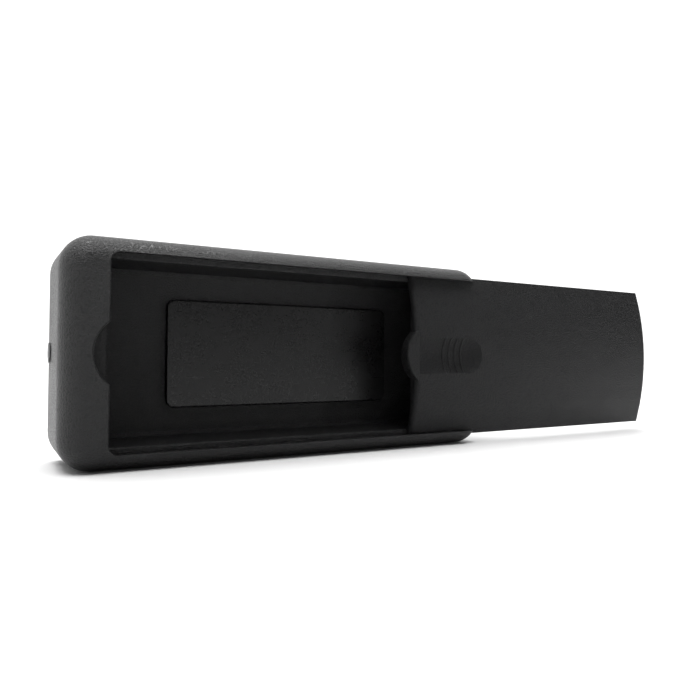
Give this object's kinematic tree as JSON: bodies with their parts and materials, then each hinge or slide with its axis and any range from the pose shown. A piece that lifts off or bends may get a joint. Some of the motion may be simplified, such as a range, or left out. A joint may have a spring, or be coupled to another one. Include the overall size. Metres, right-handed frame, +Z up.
{
  "type": "magnetic key case",
  "caption": "Shallow rounded plastic key case with a crowned cover that slides lengthwise in two grooves, a raised plate over its magnet inside and a magnetic back.",
  "frame": {"origin": "centre of the long flat side that the case stands on", "axes": "+X along the case towards its open end and along the cover's opening slide, +Y from the open front to the magnetic back, +Z up across the case's width"},
  "size_m": [0.2032, 0.026, 0.054],
  "materials": {
    "body_plastic": "fine moulded satin texture",
    "cover_plastic": "fine moulded satin texture",
    "plate_plastic": "smooth satin",
    "channel_steel": "zinc plated",
    "ferrite": "ground ferrite",
    "foam": "closed cell foam",
    "screw_steel": "zinc plated"
  },
  "bodies": {
    "case": {"case_body": "body_plastic", "magnet_cover_plate": "plate_plastic", "steel_channel": "channel_steel", "magnet_left": "ferrite", "magnet_right": "ferrite", "foam_pad": "foam", "channel_screws": "screw_steel"},
    "cover": {"sliding_cover": "cover_plastic"}
  },
  "joints": [
    {"name": "cover_slide", "type": "slide", "parent": "case", "child": "cover", "axis": [1, 0, 0], "range_m": [-0.0849, 0.035]}
  ]
}
